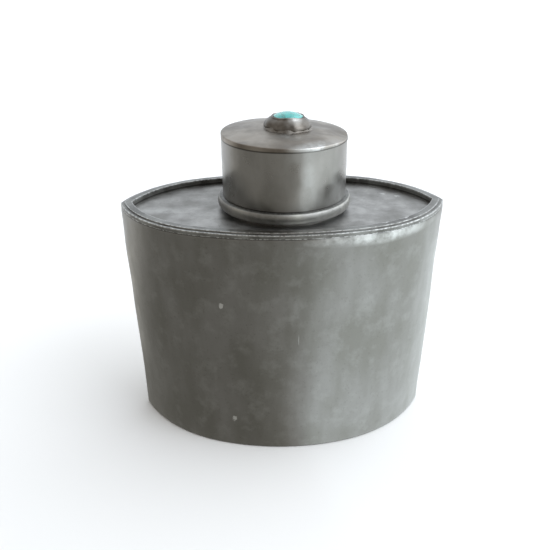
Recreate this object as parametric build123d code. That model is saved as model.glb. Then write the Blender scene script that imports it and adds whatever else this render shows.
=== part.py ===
from build123d import *
from math import cos, radians, sin, sqrt
import os

# A soldered pewter inkwell: a tapering vessel with a pointed-oval plan, a sunk deck with a round neck,
# a lift-off cap with a stone set in its top, and a glass ink pot that hangs in the neck.
# The origin is the middle of the base, +Z is up, +X runs along the vessel's length, and sizes are in mm.

# Vessel, measured outside: its plan is a pointed oval that narrows towards the base
BODY_LENGTH = 100.0
BODY_DEPTH = 57.0
BASE_LENGTH = 94.4
BASE_DEPTH = 53.2
WALL_HEIGHT = 72.4
WALL_SHEET = 1.5
RIM_FLATNESS = 1.46  # radius of a side's middle arc over that of one arc from tip to tip
BASE_FLATNESS = 1.2
SIDE_SWEEP = 18.0  # half angle of the middle arc, in degrees

# Base plate, soldered inside the wall's foot
BASE_RECESS = 0.8
BASE_SHEET = 1.4

# Rim frame: an outer ledge, a raised band and a skirt that holds the deck
LEDGE_THICKNESS = 1.2
LEDGE_WIDTH = 1.1
LEDGE_SETBACK = 0.15
BAND_RISE = 0.4
RIM_WIDTH = 3.5
SKIRT_SHEET = 1.2
DECK_SINK = 2.1  # top of the band down to the deck
DECK_SHEET = 1.2

# Cap: a tube, a domed disc and a half-round moulding at the mouth
CAP_RADIUS = 18.75
CAP_SHEET = 1.2
CAP_HEIGHT = 20.8  # mouth to the underside of the disc
CAP_GAP = 1.3  # mouth above the deck
DISC_OVERHANG = 0.2
DISC_EDGE = 1.1
DISC_SHEET = 1.2
DOME_RISE = 1.8
MOULDING_HEIGHT = 3.4
MOULDING_DEPTH = 1.5

# Stone and its mount
MOUNT_LIP = 0.82  # collar round the stone, at its top
MOUNT_FLARE = 1.5  # from the collar's top out to its foot
MOUNT_HEIGHT = 3.2  # above the dome's apex
MOUNT_OFFSET = 1.0  # along the length from the cap's axis, as it was set by eye
STONE_RADIUS = 4.3
STONE_RISE = 1.1  # above the mount
STONE_GIRDLE = 1.3
SETTING_CLEARANCE = 0.08
BED_THICKNESS = 0.5

# Neck, washer and ink pot
NECK_OFFSET = 0.5  # along the length from the vessel's middle
CAP_CLEARANCE = 0.25
NECK_SHEET = 1.2
NECK_TAIL = 1.6  # below the deck
WASHER_THICKNESS = 0.8
FLANGE_THICKNESS = 1.6
FLANGE_CLEARANCE = 0.25  # to the cap's wall and to the disc
POT_CLEARANCE = 0.45
POT_DEPTH = 56.0  # below the flange
POT_WALL = 2.3
POT_FLOOR = 3.2
POT_CORNER = 2.5
MOUTH_ROUND = 0.7

# Solder fillets
SEAM_FILLET = 1.4
BASE_FILLET = 1.5
NECK_FILLET = 1.4
MOUNT_FILLET = 0.7
FEATHER = 0.15  # thickness left at a fillet's thin edge

OVERRUN = 2.0  # how far the cavity's cutter runs past the wall

# Levels that follow from the sizes above
rim_top = WALL_HEIGHT + LEDGE_THICKNESS + BAND_RISE
deck_top = rim_top - DECK_SINK
deck_under = deck_top - DECK_SHEET
cap_mouth = deck_top + CAP_GAP
disc_under = cap_mouth + CAP_HEIGHT
flange_top = disc_under - FLANGE_CLEARANCE
flange_under = flange_top - FLANGE_THICKNESS
neck_top = flange_under - WASHER_THICKNESS
base_top = BASE_RECESS + BASE_SHEET
cap_bore = CAP_RADIUS - CAP_SHEET
neck_radius = cap_bore - CAP_CLEARANCE
neck_bore = neck_radius - NECK_SHEET
flange_radius = cap_bore - FLANGE_CLEARANCE
pot_radius = neck_bore - POT_CLEARANCE
disc_radius = CAP_RADIUS + DISC_OVERHANG
dome_edge = disc_under + DISC_EDGE
dome_apex = dome_edge + DOME_RISE
dome_sphere = (disc_radius**2 + DOME_RISE**2) / (2 * DOME_RISE)

# The axes that the turned pieces share
neck_axis = Pos(NECK_OFFSET, 0, 0)
mount_axis = Pos(NECK_OFFSET + MOUNT_OFFSET, 0, 0)


def pointed_oval(length, depth, flatness, inset, height):
    """A face whose sides are three tangent arcs each and meet on the X axis; inset moves them inwards."""
    half, bulge = length / 2, depth / 2
    middle = flatness * (half**2 + bulge**2) / (2 * bulge)
    turn = radians(SIDE_SWEEP)
    out = Vector(sin(turn), cos(turn))
    centre = Vector(0, bulge - middle)
    join = centre + out * middle
    reach = Vector(half, 0) - join
    end = -reach.dot(reach) / (2 * reach.dot(out))
    end_centre = join - out * end

    middle, end = middle - inset, end - inset
    crown = centre + Vector(0, middle)
    join = centre + out * middle
    tip = Vector(end_centre.X + sqrt(end**2 - end_centre.Y**2), 0)
    between = ((join - end_centre) + (tip - end_centre)).normalized()
    bend = end_centre + between * end

    def at(point, x_sign=1, y_sign=1):
        return (point.X * x_sign, point.Y * y_sign, height)

    edges = []
    for side in (1, -1):
        ends = [
            Edge.make_three_point_arc(at(tip, s), at(bend, s, side), at(join, s, side))
            for s in (1, -1)
        ]
        top = Edge.make_three_point_arc(at(join, 1, side), at(crown, 1, side), at(join, -1, side))
        edges += [ends[0], top, ends[1]]
    return Face(Wire.combine(edges)[0])


def body_oval(height, inset=0.0):
    """The vessel's plan at a height, following its taper."""
    share = height / WALL_HEIGHT
    length = BASE_LENGTH + (BODY_LENGTH - BASE_LENGTH) * share
    depth = BASE_DEPTH + (BODY_DEPTH - BASE_DEPTH) * share
    flatness = BASE_FLATNESS + (RIM_FLATNESS - BASE_FLATNESS) * share
    return pointed_oval(length, depth, flatness, inset, height)


def rim_oval(inset, low, high):
    """A straight-sided slab with the rim's plan."""
    plan = pointed_oval(BODY_LENGTH, BODY_DEPTH, RIM_FLATNESS, inset, low)
    return extrude(plan, high - low, dir=(0, 0, 1))


def turned(axis, *edges):
    """A solid of revolution from a closed outline of radii and heights, placed on its upright axis."""
    return axis * revolve(Face(Wire.combine(edges)[0]), Axis.Z)


def line(start, end):
    return Edge.make_line((start[0], 0, start[1]), (end[0], 0, end[1]))


def path(*points):
    return [line(a, b) for a, b in zip(points, points[1:])]


def arc(start, middle, end):
    return Edge.make_three_point_arc(*((x, 0, z) for x, z in (start, middle, end)))


def dome_height(radius):
    """Height of the disc's top face at a distance from the axis."""
    return dome_apex - dome_sphere + sqrt(dome_sphere**2 - radius**2)


def dome_arc(inner, outer):
    """The stretch of the disc's top face between two radii."""
    points = [(r, dome_height(r)) for r in (inner, (inner + outer) / 2, outer)]
    return arc(*points)


def dome_ball():
    """The ball whose top is the disc's top face."""
    return neck_axis * Pos(0, 0, dome_apex - dome_sphere) * Sphere(dome_sphere)


def ring(outer, inner, low, high):
    return turned(neck_axis, *path((inner, low), (outer, low), (outer, high), (inner, high), (inner, low)))


def cavity():
    """The space inside the wall, run past both of its edges."""
    return loft(
        [body_oval(-OVERRUN, WALL_SHEET), body_oval(WALL_HEIGHT + OVERRUN, WALL_SHEET)],
        ruled=True,
    )


def slab(low, high):
    """A box wider than the vessel between two heights."""
    return Pos(0, 0, low) * Box(
        2 * BODY_LENGTH, 2 * BODY_DEPTH, high - low, align=(Align.CENTER, Align.CENTER, Align.MIN)
    )


def walls():
    """The front and rear sheets, which meet on the X axis at the two tips."""
    tube = loft([body_oval(0), body_oval(WALL_HEIGHT)], ruled=True) - cavity()
    size = (2 * BODY_LENGTH, 2 * BODY_DEPTH, 4 * WALL_HEIGHT)
    half = Box(*size, align=(Align.CENTER, Align.MAX, Align.CENTER))
    return tube & half, tube - half


def rim_frame():
    floor = WALL_HEIGHT
    ledge = floor + LEDGE_THICKNESS
    opening = rim_oval(RIM_WIDTH, deck_under - OVERRUN, rim_top + OVERRUN)
    frame = rim_oval(LEDGE_SETBACK, floor, ledge)
    frame += rim_oval(LEDGE_SETBACK + LEDGE_WIDTH, ledge, rim_top)
    frame += rim_oval(RIM_WIDTH - SKIRT_SHEET, deck_under, floor)
    return frame - opening


def deck_plate():
    plate = rim_oval(RIM_WIDTH, deck_under, deck_top)
    return plate - neck_axis * Cylinder(neck_radius, 4 * WALL_HEIGHT)


def base_plate():
    return cavity() & slab(BASE_RECESS, base_top)


def neck_tube():
    return ring(neck_radius, neck_bore, deck_under - NECK_TAIL, neck_top)


def seat_washer():
    return ring(neck_radius, neck_bore, neck_top, flange_under)


def ink_pot():
    """A thick glass cup with a flange, turned as one outline and rounded at its floor and mouth."""
    low = flange_under - POT_DEPTH
    bore = pot_radius - POT_WALL
    well = low + POT_FLOOR
    diagonal = sin(radians(45))
    outside = POT_CORNER
    inside = POT_CORNER / 2
    round_over = MOUTH_ROUND
    return turned(
        neck_axis,
        *path((0, well), (0, low), (pot_radius - outside, low)),
        arc(
            (pot_radius - outside, low),
            (pot_radius - outside * (1 - diagonal), low + outside * (1 - diagonal)),
            (pot_radius, low + outside),
        ),
        *path(
            (pot_radius, low + outside),
            (pot_radius, flange_under),
            (flange_radius, flange_under),
            (flange_radius, flange_top),
            (bore + round_over, flange_top),
        ),
        arc(
            (bore + round_over, flange_top),
            (bore + round_over * (1 - diagonal), flange_top - round_over * (1 - diagonal)),
            (bore, flange_top - round_over),
        ),
        line((bore, flange_top - round_over), (bore, well + inside)),
        arc(
            (bore, well + inside),
            (bore - inside * (1 - diagonal), well + inside * (1 - diagonal)),
            (bore - inside, well),
        ),
        line((bore - inside, well), (0, well)),
    )


def cap_wall():
    return ring(CAP_RADIUS, cap_bore, cap_mouth, disc_under)


def cap_disc():
    """The domed top: its rim sits on the wall, and its underside follows the dome."""
    crown = dome_apex - DISC_SHEET
    rise = crown - disc_under
    sphere = (cap_bore**2 + rise**2) / (2 * rise)
    middle = cap_bore / 2
    return turned(
        neck_axis,
        dome_arc(0, disc_radius),
        *path((disc_radius, dome_edge), (disc_radius, disc_under), (cap_bore, disc_under)),
        arc(
            (cap_bore, disc_under),
            (middle, crown - sphere + sqrt(sphere**2 - middle**2)),
            (0, crown),
        ),
        line((0, crown), (0, dome_apex)),
    )


def cap_moulding():
    """A half-round strip round the cap's mouth."""
    middle = cap_mouth + MOULDING_HEIGHT / 2
    top = cap_mouth + MOULDING_HEIGHT
    return turned(
        neck_axis,
        arc((CAP_RADIUS, cap_mouth), (CAP_RADIUS + MOULDING_DEPTH, middle), (CAP_RADIUS, top)),
        line((CAP_RADIUS, top), (CAP_RADIUS, cap_mouth)),
    )


mount_top = dome_apex + MOUNT_HEIGHT
cup_radius = STONE_RADIUS + SETTING_CLEARANCE
collar_radius = cup_radius + MOUNT_LIP
foot_radius = collar_radius + MOUNT_FLARE
stone_top = mount_top + STONE_RISE
girdle_top = mount_top - SETTING_CLEARANCE
stone_under = girdle_top - STONE_GIRDLE
cup_floor = stone_under - BED_THICKNESS


def stone_mount():
    """A sloping collar on the dome, with a cup for the stone."""
    slope = MOUNT_FLARE / MOUNT_HEIGHT
    collar = turned(
        mount_axis,
        *path(
            (0, dome_apex - OVERRUN),
            (foot_radius + slope * OVERRUN, dome_apex - OVERRUN),
            (collar_radius, mount_top),
            (cup_radius, mount_top),
            (cup_radius, cup_floor),
            (0, cup_floor),
            (0, dome_apex - OVERRUN),
        ),
    )
    return collar - dome_ball()


def stone_bed():
    return mount_axis * Pos(0, 0, cup_floor) * Cylinder(
        cup_radius, BED_THICKNESS, align=(Align.CENTER, Align.CENTER, Align.MIN)
    )


def stone():
    """A round cabochon: a short girdle and a domed face."""
    rise = stone_top - girdle_top
    sphere = (STONE_RADIUS**2 + rise**2) / (2 * rise)
    middle = STONE_RADIUS / 2
    return turned(
        mount_axis,
        *path((0, stone_top), (0, stone_under), (STONE_RADIUS, stone_under), (STONE_RADIUS, girdle_top)),
        arc(
            (STONE_RADIUS, girdle_top),
            (middle, stone_top - sphere + sqrt(sphere**2 - middle**2)),
            (0, stone_top),
        ),
    )


def mount_solder():
    """A fillet between the mount's foot and the dome."""
    slope = MOUNT_FLARE / MOUNT_HEIGHT
    outer = foot_radius + MOUNT_FILLET
    edge = dome_height(outer) + FEATHER
    fillet = turned(
        mount_axis,
        *path(
            (foot_radius + slope * OVERRUN, dome_apex - OVERRUN),
            (outer + slope * OVERRUN, dome_apex - OVERRUN),
            (outer, edge),
            (foot_radius - slope * MOUNT_FILLET, dome_apex + MOUNT_FILLET),
            (foot_radius + slope * OVERRUN, dome_apex - OVERRUN),
        ),
    )
    return fillet - dome_ball()


def neck_solder():
    """A fillet under the deck, round the neck's tail."""
    return turned(
        neck_axis,
        *path(
            (neck_radius, deck_under),
            (neck_radius + NECK_FILLET, deck_under),
            (neck_radius + NECK_FILLET, deck_under - FEATHER),
            (neck_radius, deck_under - NECK_FILLET),
            (neck_radius, deck_under),
        )
    )


def base_solder():
    """A fillet on the base plate, all round the foot of the wall."""
    top = base_top + BASE_FILLET
    hollow = loft(
        [body_oval(base_top, WALL_SHEET + BASE_FILLET), body_oval(top, WALL_SHEET + FEATHER)],
        ruled=True,
    )
    return (cavity() & slab(base_top, top)) - hollow


def seam_solder(side):
    """A fillet in one end of the vessel, along the seam between the two sheets."""
    bites = []
    for height in (base_top + BASE_FILLET, deck_under - FEATHER):
        inner_tip = body_oval(height, WALL_SHEET).bounding_box().max.X
        bite = Rectangle(2 * SEAM_FILLET, BODY_DEPTH, align=(Align.MIN, Align.CENTER))
        bites.append((Pos(inner_tip - SEAM_FILLET, 0, height) * bite).face())
    right = cavity() & loft(bites, ruled=True)
    return right if side > 0 else mirror(right, Plane.YZ)


def main():
    wall_front, wall_rear = walls()
    pieces = {
        "wall_front": wall_front,
        "wall_rear": wall_rear,
        "base_plate": base_plate(),
        "rim_frame": rim_frame(),
        "deck_plate": deck_plate(),
        "neck_tube": neck_tube(),
        "seat_washer": seat_washer(),
        "ink_pot": ink_pot(),
        "cap_wall": cap_wall(),
        "cap_disc": cap_disc(),
        "cap_moulding": cap_moulding(),
        "stone_mount": stone_mount(),
        "stone_bed": stone_bed(),
        "stone": stone(),
        "mount_solder": mount_solder(),
        "neck_solder": neck_solder(),
        "base_solder": base_solder(),
        "seam_solder_left": seam_solder(-1),
        "seam_solder_right": seam_solder(1),
    }
    os.makedirs("parts", exist_ok=True)
    for name, shape in pieces.items():
        export_step(shape, f"parts/{name}.step")


main()
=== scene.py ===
import bpy
from functools import partial
from math import atan2, cos, hypot, pi, radians, sin, sqrt
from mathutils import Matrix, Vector


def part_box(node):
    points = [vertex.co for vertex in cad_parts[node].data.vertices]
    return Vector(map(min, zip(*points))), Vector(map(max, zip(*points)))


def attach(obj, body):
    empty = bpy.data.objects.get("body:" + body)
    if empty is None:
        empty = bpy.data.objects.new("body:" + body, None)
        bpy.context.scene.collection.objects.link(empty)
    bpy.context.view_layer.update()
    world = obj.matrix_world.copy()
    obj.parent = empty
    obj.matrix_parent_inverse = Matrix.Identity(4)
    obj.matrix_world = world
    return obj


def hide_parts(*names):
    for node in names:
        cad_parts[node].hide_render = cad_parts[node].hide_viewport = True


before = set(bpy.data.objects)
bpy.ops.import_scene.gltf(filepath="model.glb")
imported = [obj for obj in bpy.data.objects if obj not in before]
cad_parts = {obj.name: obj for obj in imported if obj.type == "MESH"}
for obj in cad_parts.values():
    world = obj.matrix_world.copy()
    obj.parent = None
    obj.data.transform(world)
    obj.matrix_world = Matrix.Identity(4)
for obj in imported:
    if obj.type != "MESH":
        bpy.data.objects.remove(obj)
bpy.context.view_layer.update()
mm = 0.001
tiny = 1e-6
print("frame loaded:", len(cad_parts), "nodes")


def linear(hexCode):
    channels = [int(hexCode[i:i + 2], 16) / 255 for i in (1, 3, 5)]
    return (*[c / 12.92 if c <= 0.04045 else ((c + 0.055) / 1.055) ** 2.4 for c in channels], 1.0)


def addNode(tree, kind, values=None, links=None, stops=(), **settings):
    # one node with its settings, socket values, colour stops and links, where a linked node gives its
    # first output
    made = tree.nodes.new("ShaderNode" + kind)
    for name, value in settings.items():
        setattr(made, name, value)
    for name, value in (values or {}).items():
        made.inputs[name].default_value = value
    for name, source in (links or {}).items():
        tree.links.new(getattr(source, "outputs", [source])[0], made.inputs[name])
    for index, (place, hexCode) in enumerate(stops):
        stop = made.color_ramp.elements[index] if index < 2 else made.color_ramp.elements.new(place)
        stop.position = place
        stop.color = linear(hexCode)
    return made


def newMaterial(name):
    # an empty material, what adds its nodes, and the object's own coordinates
    material = bpy.data.materials.new(name)
    material.use_nodes = True
    material.node_tree.nodes.clear()
    add = partial(addNode, material.node_tree)
    return material, add, add("TexCoord").outputs["Object"]


def objectMode():
    if bpy.context.object and bpy.context.object.mode != "OBJECT":
        bpy.ops.object.mode_set(mode="OBJECT")


def selectOnly(piece):
    objectMode()
    bpy.ops.object.select_all(action="DESELECT")
    piece.select_set(True)
    bpy.context.view_layer.objects.active = piece


def begin(name):
    # a new mesh with no vertices, at the origin, in edit mode
    objectMode()
    bpy.ops.object.select_all(action="DESELECT")
    bpy.ops.mesh.primitive_plane_add(size=mm)
    piece = bpy.context.object
    piece.name = name
    piece.data.name = name
    bpy.ops.object.mode_set(mode="EDIT")
    bpy.ops.mesh.select_all(action="SELECT")
    bpy.ops.mesh.delete(type="VERT")
    return piece


def addPoint(place):
    # a plane merged to its middle leaves one vertex
    bpy.ops.mesh.select_mode(type="VERT")
    bpy.ops.mesh.select_all(action="DESELECT")
    bpy.ops.mesh.primitive_plane_add(size=mm, location=place)
    bpy.ops.mesh.merge(type="CENTER")


def pick(piece, kind, test):
    # selects the vertices, edges or faces that pass the test
    bpy.ops.object.mode_set(mode="EDIT")
    bpy.ops.mesh.select_mode(type=kind)
    bpy.ops.mesh.select_all(action="DESELECT")
    bpy.ops.object.mode_set(mode="OBJECT")
    mesh = piece.data
    if kind == "VERT":
        for vertex in mesh.vertices:
            vertex.select = test(vertex)
    elif kind == "EDGE":
        for edge in mesh.edges:
            edge.select = test(*[mesh.vertices[i].co for i in edge.vertices])
    else:
        for face in mesh.polygons:
            face.select = test(face)
    bpy.ops.object.mode_set(mode="EDIT")


def applyModifier(piece, kind, **settings):
    objectMode()
    bpy.context.view_layer.objects.active = piece
    modifier = piece.modifiers.new(kind.lower(), kind)
    for name, value in settings.items():
        setattr(modifier, name, value)
    bpy.ops.object.modifier_apply(modifier=modifier.name)


def makeGroup(piece, name, weigh):
    # a vertex group whose weights follow a rule of place
    objectMode()
    group = piece.vertex_groups.new(name=name)
    for vertex in piece.data.vertices:
        weight = weigh(vertex.co)
        if weight > 0:
            group.add([vertex.index], min(weight, 1.0), "REPLACE")
    return name


def displace(piece, shape, kind, group, octaves=1):
    # pushes the surface in and out by a texture of the size and depth that the shape gives for its kind:
    # round cells for a dish, clouds for the rest
    dished = kind == "dish"
    texture = bpy.data.textures.new(piece.name + kind, "VORONOI" if dished else "CLOUDS")
    texture.noise_scale = shape[kind + "Size"]
    if dished:
        texture.distance_metric = "DISTANCE_SQUARED"
    else:
        texture.noise_depth = octaves
    applyModifier(piece, "DISPLACE", texture=texture, strength=shape[kind + "Depth"], mid_level=0.5,
                  texture_coords="LOCAL", vertex_group=group)


def closeUp(piece, gap=2e-6):
    bpy.ops.object.mode_set(mode="EDIT")
    bpy.ops.mesh.select_mode(type="VERT")
    bpy.ops.mesh.select_all(action="SELECT")
    bpy.ops.mesh.remove_doubles(threshold=gap)
    bpy.ops.mesh.normals_make_consistent(inside=False)
    bpy.ops.object.mode_set(mode="OBJECT")


def finishPiece(piece, body, slotName, material, *nodes, sharp=32):
    selectOnly(piece)
    bpy.ops.object.shade_smooth_by_angle(angle=radians(sharp))
    piece.vertex_groups.clear()
    piece.data.materials.clear()
    piece.data.materials.append(material)
    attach(piece, body)
    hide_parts(*nodes)
    print("made", piece.name, len(piece.data.polygons), "faces")
    return piece


def pull(offset, reach):
    # moves the selection, and what is connected to it follows softly up to reach metres away
    bpy.ops.transform.translate(value=offset, use_proportional_edit=True, use_proportional_connected=True,
                                proportional_edit_falloff="SMOOTH", proportional_size=reach)


def bump(piece, place, offset, reach):
    # pushes the spot nearest to the place
    place = Vector(place)
    nearest = min(piece.data.vertices, key=lambda vertex: (vertex.co - place).length).index
    pick(piece, "VERT", lambda vertex: vertex.index == nearest)
    pull(offset, reach)
    objectMode()


wallLow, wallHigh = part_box("wall_front")
rimLow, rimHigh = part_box("rim_frame")
deckLow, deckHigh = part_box("deck_plate")
plateLow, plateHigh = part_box("base_plate")
neckLow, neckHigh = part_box("neck_tube")
capLow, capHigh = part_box("cap_wall")
mouldLow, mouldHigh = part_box("cap_moulding")
discLow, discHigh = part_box("cap_disc")
mountLow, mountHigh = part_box("stone_mount")

foot = [v.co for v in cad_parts["wall_front"].data.vertices if v.co.z < wallLow.z + tiny]
planShape = {
    "rimFlatness": 1.46,  # radius of a side's middle arc over that of one arc from tip to tip
    "baseFlatness": 1.2,
    "sweep": radians(18),  # half angle of the middle arc
    "middleSteps": 30,
    "endSteps": 40,
}
rimHalf = (wallHigh.x, -wallLow.y)
baseHalf = (max(c.x for c in foot), -min(c.y for c in foot))


def planAt(height):
    share = height / wallHigh.z
    half = [low + (high - low) * share for low, high in zip(baseHalf, rimHalf)]
    flat = planShape["baseFlatness"] + (planShape["rimFlatness"] - planShape["baseFlatness"]) * share
    return half, flat


def addQuarter(inset, height, planHeight):
    # a quarter of the plan, from the crown to the tip: one vertex spun round two centres
    (half, bulge), flat = planAt(planHeight)
    middle = flat * (half ** 2 + bulge ** 2) / (2 * bulge)
    turn = planShape["sweep"]
    out = Vector((sin(turn), cos(turn)))
    centre = Vector((0, bulge - middle))
    reach = Vector((half, 0)) - centre - out * middle
    end = -reach.dot(reach) / (2 * reach.dot(out))
    endCentre = centre + out * (middle - end)
    endTurn = atan2(sqrt((end - inset) ** 2 - endCentre.y ** 2), -endCentre.y) - turn
    addPoint((0, bulge - inset, height))
    bpy.ops.mesh.spin(steps=planShape["middleSteps"], angle=turn, center=(*centre, height), axis=(0, 0, 1))
    bpy.ops.mesh.spin(steps=planShape["endSteps"], angle=endTurn, center=(*endCentre, height),
                      axis=(0, 0, 1))


def middleOf(node):
    low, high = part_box(node)
    return Vector(((low.x + high.x) / 2, (low.y + high.y) / 2, 0))


neckAxis = middleOf("neck_tube")
mountAxis = middleOf("stone_mount")


def radiusOf(node):
    low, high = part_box(node)
    return (high.x - low.x) / 2


neckRadius = radiusOf("neck_tube")


def fromAxis(axis, place):
    return hypot(place.x - axis.x, place.y - axis.y)


def addRound(radius, height):
    # a quarter circle with as many steps as a quarter of the plan
    steps = planShape["middleSteps"] + planShape["endSteps"]
    addPoint((0, radius, height))
    bpy.ops.mesh.spin(steps=steps, angle=pi / 2, center=(0, 0, height), axis=(0, 0, 1))


def joinQuarters(piece, cuts, closed=True):
    # bridges each chain to the next, with cuts rows between, then mirrors the quarter both ways
    chain = planShape["middleSteps"] + planShape["endSteps"] + 1
    count = len(cuts) if closed else len(cuts) + 1
    for index in range(len(cuts)):
        pair = (index, (index + 1) % count)
        pick(piece, "VERT", lambda vertex: vertex.index // chain in pair and vertex.index < chain * count)
        bpy.ops.mesh.select_mode(type="EDGE")
        bpy.ops.mesh.bridge_edge_loops(type="PAIRS", number_cuts=cuts[index], interpolation="LINEAR")
    applyModifier(piece, "MIRROR", use_axis=(True, True, False), merge_threshold=1e-5)
    closeUp(piece)


def roundTip(piece, side, offset, test):
    # rounds the upright edges at one tip
    def upright(a, b):
        return (abs(a.y) < tiny and abs(b.y) < tiny and a.x * side > 0
                and abs(a.z - b.z) > tiny and abs(a.x - b.x) < abs(a.z - b.z) and test(a) and test(b))
    pick(piece, "EDGE", upright)
    bpy.ops.mesh.bevel(offset=offset, offset_type="OFFSET", segments=5, affect="EDGES")
    objectMode()


def halfOf(whole, name, side):
    # cuts the whole ring at the two tips and keeps the front or the rear
    selectOnly(whole)
    bpy.ops.object.duplicate()
    part = bpy.context.object
    part.name = name
    part.data.name = name
    bpy.ops.object.mode_set(mode="EDIT")
    bpy.ops.mesh.select_all(action="SELECT")
    bpy.ops.mesh.bisect(plane_co=(0, 0, 0), plane_no=(0, side, 0), use_fill=True, clear_inner=True,
                        threshold=1e-5)
    closeUp(part)
    return part


def along(start, end, count):
    # count points from start, stopping short of end
    return [tuple(a + (b - a) * step / count for a, b in zip(start, end)) for step in range(count)]


def bend(centre, radius, start, stop, count):
    # points on an arc, angles in degrees from outwards, both ends included
    turns = [radians(start + (stop - start) * step / count) for step in range(count + 1)]
    return [(centre[0] + radius * cos(t), centre[1] + radius * sin(t)) for t in turns]


def turnOutline(name, axis, outline, steps=144, closed=True):
    # an outline of (radius, height) extruded point by point, then spun round an upright axis
    piece = begin(name)
    addPoint((axis.x + outline[0][0], axis.y, outline[0][1]))
    for start, end in zip(outline, outline[1:]):
        bpy.ops.mesh.extrude_region_move(
            TRANSFORM_OT_translate={"value": (end[0] - start[0], 0, end[1] - start[1])})
    if closed:
        last = len(outline) - 1
        pick(piece, "VERT", lambda vertex: vertex.index in (0, last))
        bpy.ops.mesh.edge_face_add()
    bpy.ops.mesh.select_all(action="SELECT")
    bpy.ops.mesh.spin(steps=steps, angle=2 * pi, center=axis, axis=(0, 0, 1))
    closeUp(piece)
    return piece


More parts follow.
